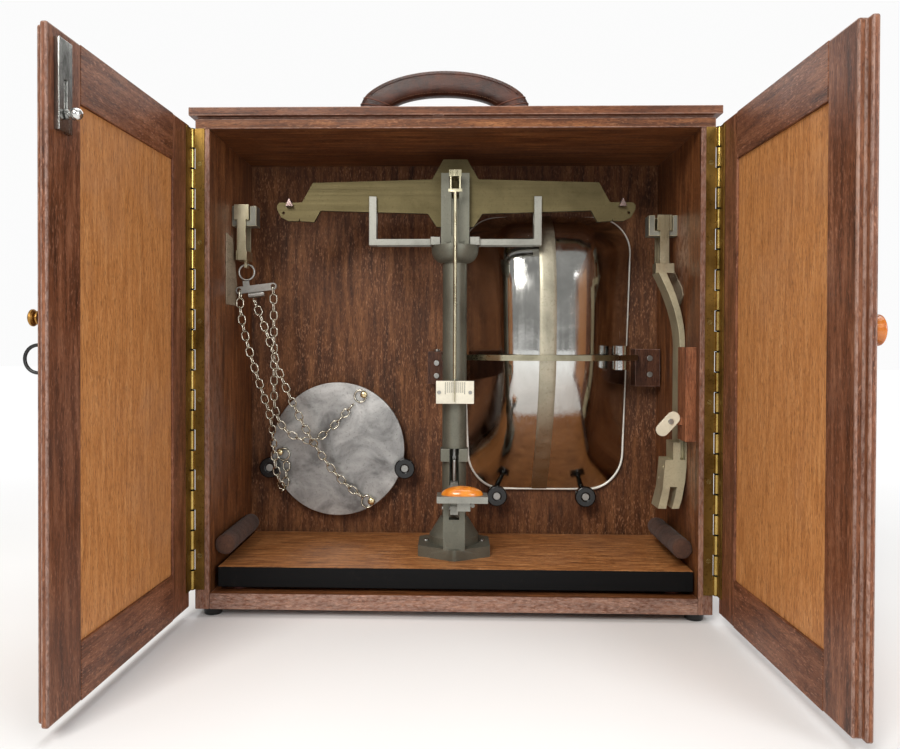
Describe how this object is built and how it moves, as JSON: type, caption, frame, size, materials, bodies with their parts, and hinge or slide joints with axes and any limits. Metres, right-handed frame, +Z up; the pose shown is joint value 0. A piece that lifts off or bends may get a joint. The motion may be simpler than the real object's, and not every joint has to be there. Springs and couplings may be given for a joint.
{
  "type": "portable equal-arm beam scale",
  "caption": "Portable equal-arm beam scale with pillar, lifting lever, chained weight plate and goods pan in a two-door wooden travelling case with a leather handle.",
  "frame": {"origin": "middle of the footprint with both doors open, on the plane the rubber feet stand on", "axes": "+X to the right seen from the front, +Y towards the back of the case, +Z up; the doors open towards -Y"},
  "size_m": [0.5678, 0.4282, 0.5565],
  "materials": {
    "case_wood": "dark red-brown mahogany, French polished and worn",
    "door_frame_wood": "dark red-brown mahogany",
    "door_panel_wood": "lighter orange-brown mahogany",
    "board_wood": "medium brown polished top, blackened edges",
    "block_wood": "red-brown stained hardwood",
    "black_rubber": "glossy black moulded rubber",
    "red_rubber": "red-brown rubber",
    "felt": "dark brown felt over a wooden dowel",
    "pale_leather": "thin pale hide, rubbed",
    "handle_leather": "stitched dark brown leather",
    "worn_steel": "satin, lightly tarnished",
    "aged_brass": "aged olive brass",
    "bronze": "brushed matte bronze",
    "grey_green_paint": "matte grey-green, chipped at the edges",
    "grey_paint": "light grey",
    "cream_paint": "yellowed cream",
    "black_wire": "black",
    "bright_plating": "mirror polished",
    "ivory_plastic": "ivory",
    "amber_resin": "translucent amber"
  },
  "bodies": {
    "case": {"case_left_side": "case_wood", "case_right_side": "case_wood", "case_bottom": "case_wood", "case_top": "case_wood", "case_back": "case_wood", "lid_board": "case_wood", "case_feet": "black_rubber", "handle_lugs": "worn_steel", "case_hinge_leaves": "aged_brass", "hinge_pins": "aged_brass", "wall_rolls": "felt", "hanger_brackets": "grey_green_paint", "wall_pads": "pale_leather", "wall_studs": "black_rubber", "wall_fixings": "worn_steel", "strap_blocks": "block_wood", "carrier_cleat": "block_wood", "goods_pan": "bright_plating", "pan_band": "worn_steel"},
    "left_door": {"left_door_stiles": "door_frame_wood", "left_door_rails": "door_frame_wood", "left_door_panel": "door_panel_wood", "left_door_leaf": "aged_brass", "bolt_plate": "worn_steel", "left_door_knob": "aged_brass", "door_pull": "black_wire"},
    "door_bolt": {"bolt_slide": "bright_plating"},
    "right_door": {"right_door_stiles": "door_frame_wood", "right_door_rails": "door_frame_wood", "right_door_panel": "door_panel_wood", "right_door_leaf": "aged_brass", "right_door_knob": "amber_resin"},
    "handle": {"carry_handle": "handle_leather"},
    "button": {"turn_button": "ivory_plastic"},
    "strap": {"pan_strap": "aged_brass", "strap_clamp": "bright_plating"},
    "stand": {"base_board": "board_wood", "board_feet": "red_rubber", "pillar_base": "grey_green_paint", "stand_fasteners": "worn_steel", "pillar_tube": "grey_green_paint", "pillar_collar": "grey_green_paint", "pillar_capital": "grey_green_paint", "relief_arms": "grey_paint", "index_plate": "ivory_plastic"},
    "lever": {"thumb_lever": "grey_paint", "thumb_button": "amber_resin"},
    "lift": {"lifting_rod": "worn_steel", "bearing_fork": "grey_green_paint"},
    "balance_beam": {"beam": "bronze", "beam_knives": "worn_steel", "pointer": "bronze"},
    "weights": {"stirrup_left": "aged_brass", "chain_yoke": "worn_steel", "suspension_chains": "worn_steel", "weight_plate": "worn_steel", "plate_studs": "aged_brass"},
    "carrier": {"stirrup_right": "aged_brass", "carrier_arm": "cream_paint", "carrier_fork": "cream_paint"}
  },
  "joints": [
    {"name": "left_door_hinge", "type": "hinge", "parent": "case", "child": "left_door", "pos_m": [-0.24927, 0.04164, 0.251], "axis": [0, 0, -1], "range_deg": [-92.4, 82]},
    {"name": "bolt_travel", "type": "slide", "parent": "left_door", "child": "door_bolt", "axis": [0, 0, 1], "range_m": [0, 0.02]},
    {"name": "right_door_hinge", "type": "hinge", "parent": "case", "child": "right_door", "pos_m": [0.25573, 0.04164, 0.251], "axis": [0, 0, 1], "range_deg": [-91.3, 82]},
    {"name": "handle_swing", "type": "hinge", "parent": "case", "child": "handle", "pos_m": [-0.00677, 0.12714, 0.502], "axis": [1, 0, 0], "range_deg": [-65, 65]},
    {"name": "button_turn", "type": "hinge", "parent": "case", "child": "button", "pos_m": [0.21653, 0.06164, 0.1923], "axis": [0, -1, 0], "range_deg": [-60, 40]},
    {"name": "strap_swing", "type": "hinge", "parent": "case", "child": "strap", "pos_m": [-0.01377, 0.15214, 0.253], "axis": [0, 0, 1], "range_deg": [-10, 0]},
    {"name": "stand_slide", "type": "slide", "parent": "case", "child": "stand", "axis": [0, -1, 0], "range_m": [0, 0.2]},
    {"name": "lever_press", "type": "hinge", "parent": "stand", "child": "lever", "pos_m": [0.00523, 0.08714, 0.1], "axis": [1, 0, 0], "range_deg": [0, 10.2]},
    {"name": "beam_lift", "type": "slide", "parent": "stand", "child": "lift", "axis": [0, 0, 1], "range_m": [0, 0.00445]},
    {"name": "beam_swing", "type": "hinge", "parent": "lift", "child": "balance_beam", "pos_m": [0.00523, 0.11964, 0.4191], "axis": [0, 1, 0], "range_deg": [-4, 4]},
    {"name": "weights_lift", "type": "slide", "parent": "case", "child": "weights", "axis": [0, 0, 1], "range_m": [0, 0.012]},
    {"name": "carrier_lift", "type": "slide", "parent": "case", "child": "carrier", "axis": [0, 0, 1], "range_m": [0, 0.02]}
  ],
  "couplings": [
    {"joint": "lever_press", "follows": "beam_lift", "rad_per_m": 39.2}
  ]
}
